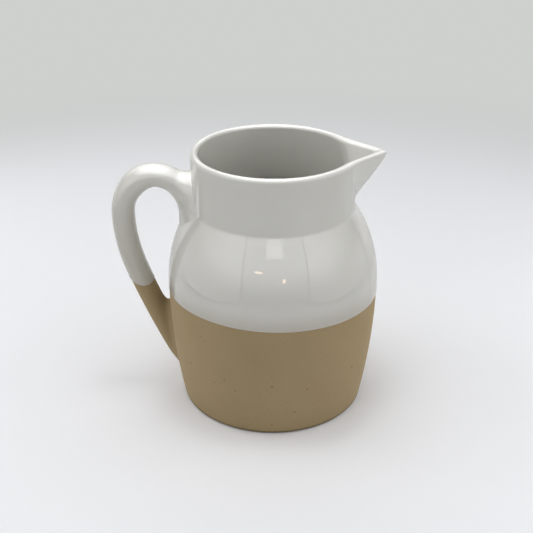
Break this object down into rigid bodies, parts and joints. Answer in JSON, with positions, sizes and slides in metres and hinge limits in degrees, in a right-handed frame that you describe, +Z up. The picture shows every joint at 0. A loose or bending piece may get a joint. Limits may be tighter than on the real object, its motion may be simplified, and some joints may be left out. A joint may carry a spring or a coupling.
{
  "type": "stoneware jug",
  "caption": "Round-bellied stoneware jug with an upright collar, a pointed pouring beak and an arched strap handle, white glaze above a dip line and bare buff clay below.",
  "frame": {"origin": "centre of the flat underside that the jug stands on", "axes": "+Z up along the jug's axis, +X towards the beak, -X towards the handle, +Y to the jug's left seen from behind the handle"},
  "size_m": [0.1893, 0.1502, 0.187],
  "materials": {
    "clay": "fired bare stoneware, matt buff",
    "slip": "fired joining slip of the same clay, matt buff",
    "glaze": "glossy opaque white glaze"
  },
  "bodies": {
    "root": {"belly": "clay", "collar": "clay", "beak": "clay", "handle": "clay", "shoulder_slip": "slip", "beak_slip": "slip", "upper_handle_slip": "slip", "lower_handle_slip": "slip", "belly_glaze": "glaze", "collar_glaze": "glaze", "beak_glaze": "glaze", "handle_glaze": "glaze", "liner_glaze": "glaze"}
  },
  "joints": []
}
